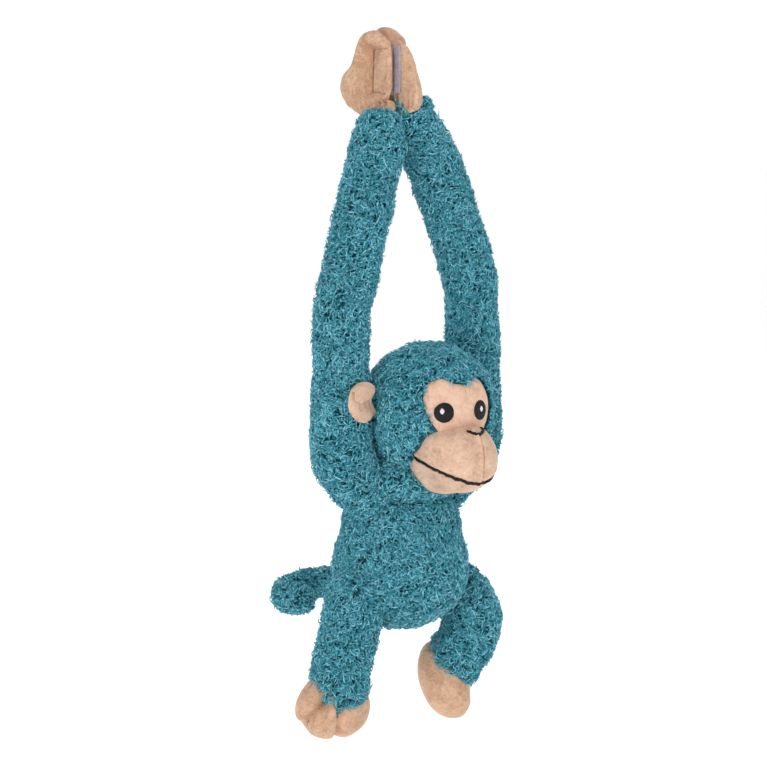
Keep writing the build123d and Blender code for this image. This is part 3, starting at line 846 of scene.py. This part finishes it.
# --------------------------------------------------------------- face patch
v, f, on_rim, _ = panel(PATCH[::3], 1.0, (), 3)
rim_d = edge_distance(v, PATCH)
front_y = head_front(v[:, 0], v[:, 1]) - 1.5 * np.minimum(rim_d / 3.0, 1) ** 0.6 - 0.5 * np.exp(-((v[:, 0] / 17) ** 2 + ((v[:, 1] + 206) / 17) ** 2))
front_y += 0.12 * vnoise(np.column_stack([v[:, 0], front_y, v[:, 1]]), 5, 71)
back_y = head_front(v[:, 0], v[:, 1]) + 0.8
nn = len(v)
V = np.vstack([np.column_stack([v[:, 0], front_y, v[:, 1]]), np.column_stack([v[:, 0], back_y, v[:, 1]])])
bd = [(i, j) for t3 in f for i, j in ((t3[0], t3[1]), (t3[1], t3[2]), (t3[2], t3[0]))]
have = set(bd)
rimside = [(i, j) for i, j in bd if (j, i) not in have]
F = np.vstack([f, f[:, ::-1] + nn, [(j, i, i + nn) for i, j in rimside], [(j, i + nn, j + nn) for i, j in rimside]])
F = outward(V, F)
patch = make("face_patch_cover", V, F)
dress(patch, FACE, "peach_velboa", "head", "face_patch")


def face_y(x, z):
    p = np.array([[x, z]])
    return float(head_front(np.array([x]), np.array([z]))[0] - 1.5 - 0.5 * math.exp(-((x / 17) ** 2 + ((z + 206) / 17) ** 2)))


# --------------------------------------------------------------------- eyes
def satin(name, cx, cz, rx, rz, lift, pitch, angle, power, material, slot, *nodes):
    """A satin-stitched spot: rows of thread side by side, domed, with the edge worked down into the fabric."""
    n = 96
    g = np.linspace(-1, 1, n)
    U, W = np.meshgrid(g, g, indexing="ij")
    q = np.maximum(np.abs(U), np.abs(W)); r = np.hypot(U, W) + 1e-9
    U, W = U * q / r, W * q / r                      # the square, drawn in to a disc
    rad = np.minimum(np.hypot(U, W), 1)
    th = np.arctan2(W, U)
    shape = (np.abs(np.cos(th)) ** power + np.abs(np.sin(th)) ** power) ** (-1 / power)
    x, z = cx + rx * U * shape, cz + rz * W * shape
    across = (x - cx) * math.cos(angle) + (z - cz) * math.sin(angle)
    row = np.abs(np.sin(math.pi * across / pitch))
    y0 = np.vectorize(face_y)(x, z)
    h = lift * np.clip(1 - rad ** 3.2, 0, 1) ** 0.7 + 0.36 * lift * row * (rad < 0.985)
    y = y0 - 0.05 - h + 0.55 * step(rad, 0.93, 1.0)
    V = np.concatenate([np.stack([x, y, z], -1).reshape(-1, 3), np.stack([x, y0 + 0.7, z], -1).reshape(-1, 3)])
    i, j = np.meshgrid(np.arange(n - 1), np.arange(n - 1), indexing="ij")
    Q = np.stack([i * n + j, (i + 1) * n + j, (i + 1) * n + j + 1, i * n + j + 1], -1).reshape(-1, 4)
    e = list(range(0, n)) + [k * n + n - 1 for k in range(1, n)] + [(n - 1) * n + k for k in range(n - 2, -1, -1)] + [k * n for k in range(n - 2, 0, -1)]
    e = np.array(e); e1 = np.roll(e, -1)
    S = np.stack([e, e1, e1 + n * n, e + n * n], 1)
    F = np.vstack([tris(Q), tris(Q[:, ::-1] + n * n), tris(S)])
    F = outward(V, F)
    o = make(name, V, F)
    return dress(o, material, slot, "head", *nodes)


for side, word in ((-1, "right"), (1, "left")):
    ex, ez, rx = (-18.8, -206.3, 6.7) if side < 0 else (12.9, -206.3, 6.0)
    satin(f"{word}_eye_satin", ex, ez, rx, 6.6, 0.55, 0.62, 0.18 * side, 2.05, BLACK, "black_thread", f"{word}_eye")
    a = np.linspace(0, 2 * math.pi, 90)
    ring = np.stack([ex + rx * np.cos(a), np.zeros(90), ez + 6.6 * np.sin(a)], 1)
    ring[:, 1] = [face_y(x, z) - 0.25 for x, _, z in ring]
    V, F = stitches(ring, np.tile([0, -1.0, 0], (90, 1)), 0.42, 2.4, 1.5, 81 + side, 0.12)
    dress(make(f"{word}_eye_edge", V, F), BLACK, "black_thread", "head")
    gx, gz = (-20.8, -205.3) if side < 0 else (13.6, -205.5)
    gl = satin(f"{word}_eye_shine", gx, gz, 1.6, 2.3, 1.15, 0.5, 0.3, 1.35, WHITE, "white_thread", f"{word}_eye_glint")

# ------------------------------------------------------------------- muzzle
MC, MR = np.array([0, -55.5, -240.0]), np.array([29.5, 30.5, 25.5])


def narrowing(lz, x):
    top = np.where(x < 0, 1 + 0.20 * step(lz, 7, 24), 1 - 0.15 * step(lz, -6, 24))
    return top * (1 - 0.21 * step(-lz, -2, 21))


def muzzle_point(phi, z):
    """The muzzle's surface at an angle round from the front and a height."""
    phi, z = np.broadcast_arrays(np.asarray(phi, float), np.asarray(z, float))
    lz = z - MC[2]
    lo_, hi_ = np.zeros(phi.shape), np.full(phi.shape, 60.0)
    for _ in range(40):
        r = (lo_ + hi_) / 2
        fx, fy = np.abs(r * np.sin(phi)) / (MR[0] * narrowing(lz, np.sin(phi))), np.abs(r * np.cos(phi)) / MR[1]
        out = fx ** 2.3 + (fy ** 3 + np.abs(lz / MR[2]) ** 3) ** (2.3 / 3) > 1
        hi_, lo_ = np.where(out, r, hi_), np.where(out, lo_, r)
    return np.stack([MC[0] + lo_ * np.sin(phi), MC[1] - lo_ * np.cos(phi), z], -1)


MOUTH = np.array([(0, -255.4), (10, -255.0), (21, -253.7), (39, -250.6), (50, -248.5), (61, -246.3), (81, -242.2), (94, -239.9), (112, -237.0)])


def mouth_z(phi):
    return np.interp(np.degrees(np.abs(phi)), MOUTH[:, 0], MOUTH[:, 1])


DM, MT, MUV = ball(84)
t = ((np.abs(DM[:, 1] / MR[1]) ** 3 + np.abs(DM[:, 2] / MR[2]) ** 3) ** (2.3 / 3) + np.abs(DM[:, 0] / MR[0]) ** 2.3) ** (-1 / 2.3)
V = DM * t[:, None]
V[:, 0] *= narrowing(V[:, 2], V[:, 0])
V = V + MC
T, uv = flipped(V, MT, MUV)
N = normals(V, T)
x, y, z = V.T
phi = np.arctan2(x - MC[0], -(y - MC[1]))
front = step(np.cos(phi), -0.55, -0.2)
dm = (mouth_z(phi) - z) * 0.94
d = 0.5 * vnoise(V, 14, 91) + 0.22 * vnoise(V, 5, 92) + 0.08 * vnoise(V, 1.8, 93)
above = step(-dm, -0.5, 1.5)
sx = x - 1.4
nose_front = step(-y, 62, 70)
d += nose_front * above * (-1.5 * np.exp(-(sx / 0.85) ** 2) + 1.1 * np.exp(-((sx + 1.9) / 1.1) ** 2) + 0.3 * np.exp(-((sx - 1.9) / 1.1) ** 2))
low = step(-z, 231, 236)
d += front * low * (-1.5 * np.exp(-(dm / 1.5) ** 2))
d += 0.5 * front * low * np.exp(-((dm + 3.0) / 2.2) ** 2)
d += -1.8 * front * low * step(dm, 0.2, 3.0)
d += -1.6 * np.exp(-((z + 216.0) / 2.5) ** 2) * step(y, -75, -68)          # sunk seam where the muzzle meets the eye patch
V = V + N * d[:, None]
muz = make("muzzle_cover", V, T, True, uv)
dress(muz, PEACH, "peach_velboa", "head", "chin_cover", "muzzle_right_panel", "muzzle_left_panel", "muzzle_filling")
phi = np.radians(np.linspace(-104, 104, 170))
path = muzzle_point(phi, mouth_z(phi))
out = unit(np.column_stack([np.sin(phi) / 1.0, -np.cos(phi), np.full(len(phi), -0.35)]))
path = path - out * 0.55
V, F = stitches(path, out, 1.05, 3.1, 1.7, 95, 0.5)
dress(make("mouth_thread", V, F), BLACK, "black_thread", "head", "mouth_stitch")
u = np.linspace(-1, 1, 60)
phi = np.radians(3.4 + 22 * u)
path = muzzle_point(phi, -221.2 + 2.9 * u ** 2 + 0.5 * u)
out = unit(np.column_stack([np.sin(phi), -np.cos(phi), np.full(len(phi), 0.7)]))
path = path + out * 0.15
V1, F1 = stitches(path, out, 0.95, 2.8, 1.3, 96, 0.35)
V2, F2 = stitches(path + out * -0.1 + np.array([0, 0, -0.9]), out, 0.62, 2.4, 1.4, 97, 0.3)
dress(make("nose_thread", np.vstack([V1, V2]), np.vstack([F1, F2 + len(V1)])), BLACK, "black_thread", "head", "nose_stitch")

# ==================================================================== ears
EAR = [(-4, -10.5), (3, -15), (12, -17.6), (21, -15.2), (27.5, -8), (29.8, 2), (29, 13), (26, 22.5), (19, 28.5), (11, 28.2), (4, 21), (0, 10)]
W, F, flat = pillow(EAR, 1.25, [[(2, -6), (3.5, 0), (3.5, 6)]], pressure=3.2, frames=26, seed=12, loose=0.03, bending=0.1)
for side, word in ((-1, "right"), (1, "left")):
    u, v, w = W[:, 0], W[:, 1], W[:, 2] * min(1.0, 2.6 / max(np.abs(W[:, 2]).max(), 0.1))
    w = w + 0.35 * vnoise(np.column_stack([u, v, w]), 5, 301 + side) + 0.2 * vnoise(np.column_stack([u, v, w]), 2.6, 305 + side)
    # the upper part folds forward and down over the bowl of the ear
    crease = 9.4 + 0.06 * u - 0.021 * (u - 13.5) ** 2
    s = v - crease
    rho = 2.6
    a = np.clip(s / rho, 0, math.pi)
    past = np.maximum(s - rho * math.pi, 0)
    up = np.where(s > 0, crease + (rho + w) * np.sin(a) - past, v)
    fwd = np.where(s > 0, rho - (rho + w) * np.cos(a), -w)
    cup = 4.6 * step(u, 4, 29) ** 1.4 + 1.2 * step(-v, 4, 15)
    u = np.where(u < 6, 6 - (6 - u) * 0.75, u)
    P = np.column_stack([side * (47.6 + u), -31.0 - fwd - cup + 3.2 * step(u, 10, 0), -198.2 + 0.88 * up])
    if side > 0:       # the left ear is pressed back round the head by the arm beside it
        q = P[:, :2] - np.array([47.6, -31.0])
        a = q[:, 0] * 0.86 / 45.5
        P[:, 0] = (46.2 - q[:, 1] * 0.45) * np.cos(a)
        P[:, 1] = -31.0 + (46.2 - q[:, 1] * 0.45) * np.sin(a)
    Q, FF = P, outward(P, F)
    ear = make(f"{word}_ear_cover", Q, FF)
    dress(ear, PEACH, "peach_velboa", f"{word}_ear", f"{word}_ear_front", f"{word}_ear_back")

# =================================================================== hands
HANDS = {
    -1: ([(0, 3), (2, 12), (1.5, 23), (3, 40), (10, 52.5), (21, 58.5), (34, 56), (42.5, 48), (47, 37), (56, 29), (59, 20), (55, 9), (46, 1.5), (35, -3), (24, -7), (13, -9), (2, -7)], (18.0, 29.0, 20.0, 34.0)),
    1: ([(-12, 2), (-15.5, 10), (-12.5, 24), (-7.5, 37), (-0.5, 48), (9, 57), (22, 61.5), (34, 58), (42, 46), (43, 28), (37, 13), (24, 3), (13, -2.5), (-3, -3)], (12.0, 30.0, 20.0, 34.0)),
}
for side, word in ((-1, "right"), (1, "left")):
    outline, (py, pz, pw, ph) = HANDS[side]
    if side < 0:
        box_ = np.array([(py - 8, pz - 12), (py + 5, pz - 12), (py + 9, pz + 14), (py - 6, pz + 17), (py - 8, pz - 12)])
    else:
        box_ = np.array([(py - 9, pz - 15), (py + 9, pz - 15), (py + 9, pz + 15), (py - 9, pz + 15), (py - 9, pz - 15)])
    quilt = [box_, [(6, 4), (8, 10)], [(13, 3), (14, 8)]]
    W, F, flat = pillow(outline, 1.45, quilt, box_, pressure=11.0, frames=36, seed=20 + side, loose=0.02)
    y, z, w = W[:, 0], W[:, 1], W[:, 2]
    w0 = max(np.abs(w).max(), 1.0)
    P2 = np.column_stack([y, z])
    out_pad = np.where(inside(y, z, box_), 0, edge_distance(P2, box_[:-1]))
    off = 3.0 * step(out_pad, 0, 9)
    # in the simulation the outer sheet is on one side; outward from the palm is positive here
    wo = w * (12.6 / w0)
    X = np.where(wo > 0, 1.5 + off + wo, 1.5 + off + off * 0.9 * wo / 12.6)
    depth_in = np.where(inside(y, z, box_), edge_distance(P2, box_[:-1]), 0)
    X = X + np.where(wo > 0, 1.7 * step(depth_in, 0.3, 3.0), 0)
    fold = np.exp(-((z - 3) / 8.5) ** 2)
    X = X + fold * (1.5 * np.sin(y * 1.15 + 1.2 * vnoise(W, 6, 21)) - 0.9)
    X = X + (0.35 * vnoise(W, 7, 22 + side) + 0.15 * vnoise(W, 2.5, 24 + side)) * (wo > 0)
    X = np.clip(X, 1.25, None)
    P = np.column_stack([side * X, y, z])
    hand = make(f"{word}_hand_cover", P, outward(P, F))
    dress(hand, PAW, "peach_velboa", f"{word}_hand", f"{word}_hand_palm", f"{word}_hand_back", f"{word}_hand_filling")
    # the pad of hook or loop tape on the palm
    ny, nz = 30, 50
    gy, gz = np.linspace(-pw / 2, pw / 2, ny), np.linspace(-ph / 2, ph / 2, nz)
    A, B = np.meshgrid(gy, gz, indexing="ij")
    wav = 0.10 * vnoise(np.column_stack([A.ravel(), B.ravel(), A.ravel() * 0]), 4, 26).reshape(A.shape)
    rimd = np.minimum(pw / 2 - np.abs(A), ph / 2 - np.abs(B))
    face = np.stack([side * (0.55 + 0.5 * np.exp(-(rimd / 0.8) ** 2) + wav), py + A, pz + B], -1).reshape(-1, 3)
    rear = np.stack([side * (1.40 + 0 * A), py + A, pz + B], -1).reshape(-1, 3)
    i, j = np.meshgrid(np.arange(ny - 1), np.arange(nz - 1), indexing="ij")
    Q = np.stack([i * nz + j, (i + 1) * nz + j, (i + 1) * nz + j + 1, i * nz + j + 1], -1).reshape(-1, 4)
    e = np.array(list(range(0, nz)) + [k * nz + nz - 1 for k in range(1, ny)] + [(ny - 1) * nz + k for k in range(nz - 2, -1, -1)] + [k * nz for k in range(ny - 2, 0, -1)])
    e1 = np.roll(e, -1)
    n2 = ny * nz
    S = np.stack([e, e1, e1 + n2, e + n2], 1)
    V = np.vstack([face, rear])
    F = outward(V, np.vstack([tris(Q), tris(Q[:, ::-1] + n2), tris(S)]))
    kind = "hook" if side < 0 else "loop"
    mat = HOOK if side < 0 else LOOP
    pad = make(f"{word}_{kind}_tape", V, F)
    dress(pad, mat, f"{kind}_tape", f"{word}_hand", f"{word}_{kind}_pad")
    front_only = lambda p: np.abs(p[:, 0]) < 1.1
    S3, T3, U3, at = curls(V, F, front_only, 1.5 if side > 0 else 1.0, 0.75, 27, None, 0.22)
    S3[:, 0] = side * np.clip(side * S3[:, 0], 0.05, None)
    dress(make(f"{word}_{kind}_nap", S3, T3, True, U3, at), mat, f"{kind}_tape", f"{word}_hand")

# ==================================================================== legs
LEGS = {
    "right": ([(-44, -3, -342), (-50, -3.3, -361), (-57.5, -5.2, -381), (-63.5, -8, -399)], [17.0, 17.3, 17.3, 17.4]),
    "left": ([(43, -8, -341), (47.5, -17, -352), (50.0, -22.5, -364), (47.5, -18.5, -380), (41, -9, -398)], [17.0, 17.2, 17.3, 17.3, 17.2]),
}
for word, (line, rad) in LEGS.items():
    seed = 400 if word == "right" else 500
    V, T, uv = tube(line, rad, step=1.2, around=84, lump=0.045, seed=seed)
    T, uv = flipped(V, T, uv)
    o = make(f"{word}_leg_fabric", V, T, True, uv)
    dress(o, BACK, "teal_boucle", f"{word}_leg", f"{word}_leg_cover", f"{word}_leg_filling")
    o = fur(f"{word}_leg_pile", V, T, None, seed + 1, comb=np.array([0, 0, -0.35]))
    dress(o, TEAL, "teal_boucle", f"{word}_leg")

# ==================================================================== feet
DF, FT, FUV = ball(72)


def foot(word, centre, yaw, lines, depth, width, seed):
    a, b, c, p = (28.0, 20.5, 24.5, 2.35) if yaw == 0 else (25.0, 18.2, 28.0, 2.3)
    t = (np.abs(DF[:, 0] / a) ** p + np.abs(DF[:, 1] / b) ** p + np.abs(DF[:, 2] / c) ** p) ** (-1 / p)
    V = DF * t[:, None]
    N = unit(DF / np.array([a, b, c]) ** 2)
    k = np.clip(V[:, 2] / c, -1, 1)
    V[:, 0] *= 1 - (0.24 if yaw == 0 else 0.34) * step(k, -0.1, 1) - 0.10 * step(-k, 0.45, 1)
    V[:, 1] *= 1 - 0.30 * step(k, -0.1, 1) * (1 if yaw == 0 else 0.5)
    grow = np.array([1.037, 1.0, 1.043]) if yaw == 0 else np.ones(3)
    V = grooves(V, N, [np.array(line) * grow for line in lines], depth, width)
    V = V + N * (0.5 * vnoise(V, 15, seed) + 0.22 * vnoise(V, 5.5, seed + 1) + 0.08 * vnoise(V, 1.9, seed + 2))[:, None]
    V[:, 1] += 0.24 * V[:, 2] * (yaw != 0)
    ca, sa = math.cos(math.radians(yaw)), math.sin(math.radians(yaw))
    R = np.column_stack([V[:, 0] * ca - V[:, 1] * sa, V[:, 0] * sa + V[:, 1] * ca, V[:, 2]]) + np.array(centre)
    T, uv = flipped(R, FT, FUV)
    o = make(f"{word}_foot_cover", R, T, True, uv)
    dress(o, PAW, "peach_velboa", f"{word}_foot", f"{word}_foot_upper", f"{word}_foot_sole", f"{word}_foot_filling")
    return R, N, ca, sa


RIGHT_TOES = [[(-20, 10, -15), (-24.5, 0.8, -9.8), (-25.0, -6.9, -3.8), (-23.1, -10.6, 0.1), (-20.6, -13.0, 3.2), (-17.1, -14.7, 6.8)],
              [(-1.5, 8, -21.5), (-1.8, -2, -23), (-2.8, -10.2, -20.3), (-6.5, -15.9, -13.7), (-7.5, -18.7, -6.9), (-7.6, -19.6, -0.5), (-8.3, -18.7, 6.2)]]
LEFT_TOES = [[(20, 10, -15), (24.5, 0.8, -9.8), (25.0, -6.9, -3.8), (23.1, -10.6, 0.1), (20.6, -13.0, 3.2), (17.1, -14.7, 6.8)],
             [(1.5, 8, -21.5), (1.8, -2, -23), (2.8, -10.2, -20.3), (6.5, -15.9, -13.7), (7.5, -18.7, -6.9), (7.6, -19.6, -0.5), (8.3, -18.7, 6.2)],
             [(-2, 17, 19), (-8.1, 17.2, 10.8), (-15.3, 16.9, 0.6), (-16.2, 14.7, -8.3), (-16.3, 11.1, -13.8), (-9, 6, -21)]]
TOES = {"right": ((-66, -4, -413), 0, RIGHT_TOES), "left": ((36.5, -5, -410.5), 52, LEFT_TOES)}
for word, (centre, yaw, lines) in TOES.items():
    foot(word, centre, yaw, lines, [8.4, 7.6, 1.3][:len(lines)], [3.7, 3.4, 1.0][:len(lines)], 600 if word == "right" else 700)
    # stitches at the bottom of each toe line
    ca, sa = math.cos(math.radians(yaw)), math.sin(math.radians(yaw))
    VV, FF, base = [], [], 0
    for line in lines[:2]:
        L = np.array(line, float)
        s = np.r_[0, np.cumsum(np.linalg.norm(np.diff(L, axis=0), axis=1))]
        t = np.linspace(0, s[-1], 30)
        L = np.stack([np.interp(t, s, L[:, k]) for k in range(3)], 1)
        n = unit(L / np.array([27.0, 20.5, 23.5]) ** 2)
        L = L - n * 5.4
        W = np.column_stack([L[:, 0] * ca - L[:, 1] * sa, L[:, 0] * sa + L[:, 1] * ca, L[:, 2]]) + np.array(centre)
        nn_ = np.column_stack([n[:, 0] * ca - n[:, 1] * sa, n[:, 0] * sa + n[:, 1] * ca, n[:, 2]])
        V, F = stitches(W, nn_, 0.4, 2.2, 2.8, 601)
        VV.append(V); FF.append(F + base); base += len(V)
    dress(make(f"{word}_toe_thread", np.vstack(VV), np.vstack(FF)), TAN, "tan_thread", f"{word}_foot", f"{word}_toe_stitches")

# ==================================================================== tail
V, T, uv = tube([(0, 30, -347), (0.5, 50, -346), (0, 66, -345.2), (-3, 83, -346), (-12.5, 93, -348), (-25, 96.5, -351), (-34.5, 89, -354), (-33.5, 75, -354.2)],
                [8.6, 8.7, 8.7, 8.7, 8.7, 8.7, 8.7, 8.7], step=1.0, around=56, lump=0.05, seed=800)
T, uv = flipped(V, T, uv)
o = make("tail_fabric", V, T, True, uv)
dress(o, BACK, "teal_boucle", "tail", "tail_cover", "tail_filling")
o = fur("tail_pile", V, T, None, 801, length=3.7)
dress(o, TEAL, "teal_boucle", "tail")

# ================================================================== studio
def plain(name, colour, rough):
    m, nt, b = shader(name)
    geo = node(nt, "ShaderNodeTexCoord")
    n = node(nt, "ShaderNodeTexNoise")
    n.inputs["Scale"].default_value = 3
    nt.links.new(geo.outputs["Object"], n.inputs["Vector"])
    r = ramp(nt, [(0.3, tuple(c * 0.985 for c in colour)), (0.7, colour)])
    nt.links.new(n.outputs["Fac"], r.inputs[0])
    nt.links.new(r.outputs[0], b.inputs["Base Color"])
    b.inputs["Roughness"].default_value = rough
    b.inputs["Emission Color"].default_value = (1, 1, 1, 1)
    b.inputs["Emission Strength"].default_value = 0.45
    return m


FLOOR = -0.452
prof = [(-4.0, 0.0)] + [(2.2 + 0.9 * math.sin(a), 0.9 - 0.9 * math.cos(a)) for a in np.linspace(0, math.pi / 2, 24)] + [(3.1, 4.2)]
ax = np.array([math.sin(math.radians(40)), math.cos(math.radians(40)), 0])     # the way the camera looks, on the floor
rt = np.array([ax[1], -ax[0], 0])
rows = []
for d_, h_ in prof:
    for s_ in (-5.0, 5.0):
        rows.append((ax * d_ + rt * s_ + np.array([0, 0, FLOOR + h_])) * 1000)
Q = [(2 * k, 2 * k + 1, 2 * k + 3, 2 * k + 2) for k in range(len(prof) - 1)]
sweep = make("studio_sweep", np.array(rows), np.array(Q))
sweep.data.materials.append(plain("studio_paper", (0.92, 0.92, 0.925), 0.9))
sweep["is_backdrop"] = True


def light(name, place, aim, size, power, colour=(1, 1, 1)):
    l = bpy.data.lights.new(name, "AREA")
    l.shape, l.size, l.energy, l.color = "DISK", size, power, colour
    o = bpy.data.objects.new(name, l)
    o.location = place
    o.rotation_mode = "QUATERNION"
    o.rotation_quaternion = (Vector(aim) - Vector(place)).to_track_quat("-Z", "Y")
    bpy.context.scene.collection.objects.link(o)
    return o


MID = (-0.01, -0.005, -0.2)
light("key", (-1.5, -0.9, 1.0), MID, 0.9, 15.6)
light("fill", (0.7, -1.7, 0.3), MID, 1.6, 6.9)
light("rim", (0.9, 1.2, 1.1), MID, 1.2, 10.5)
light("low", (-0.9, -0.6, -0.35), MID, 0.8, 1.5)
scene = bpy.context.scene
scene.view_settings.view_transform = "Standard"
scene.view_settings.look = "None"
world = bpy.context.scene.world or bpy.data.worlds.new("world")
bpy.context.scene.world = world
world.use_nodes = True
world.node_tree.nodes["Background"].inputs[0].default_value = (1, 1, 1, 1)
world.node_tree.nodes["Background"].inputs[1].default_value = 0.345

cam = bpy.data.cameras.new("camera")
cam.sensor_width, cam.lens = 36.0, 100.0
cam.clip_start, cam.clip_end = 0.05, 30
co = bpy.data.objects.new("camera", cam)
az, el = math.radians(-40), math.radians(5)
back = Vector((math.sin(az) * math.cos(el), -math.cos(az) * math.cos(el), math.sin(el)))
co.location = Vector((-0.020146, -0.004842, -0.190409)) + back * 1.5
co.rotation_mode = "QUATERNION"
co.rotation_quaternion = (-back).to_track_quat("-Z", "Y")
bpy.context.scene.collection.objects.link(co)
bpy.context.scene.camera = co

low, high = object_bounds()
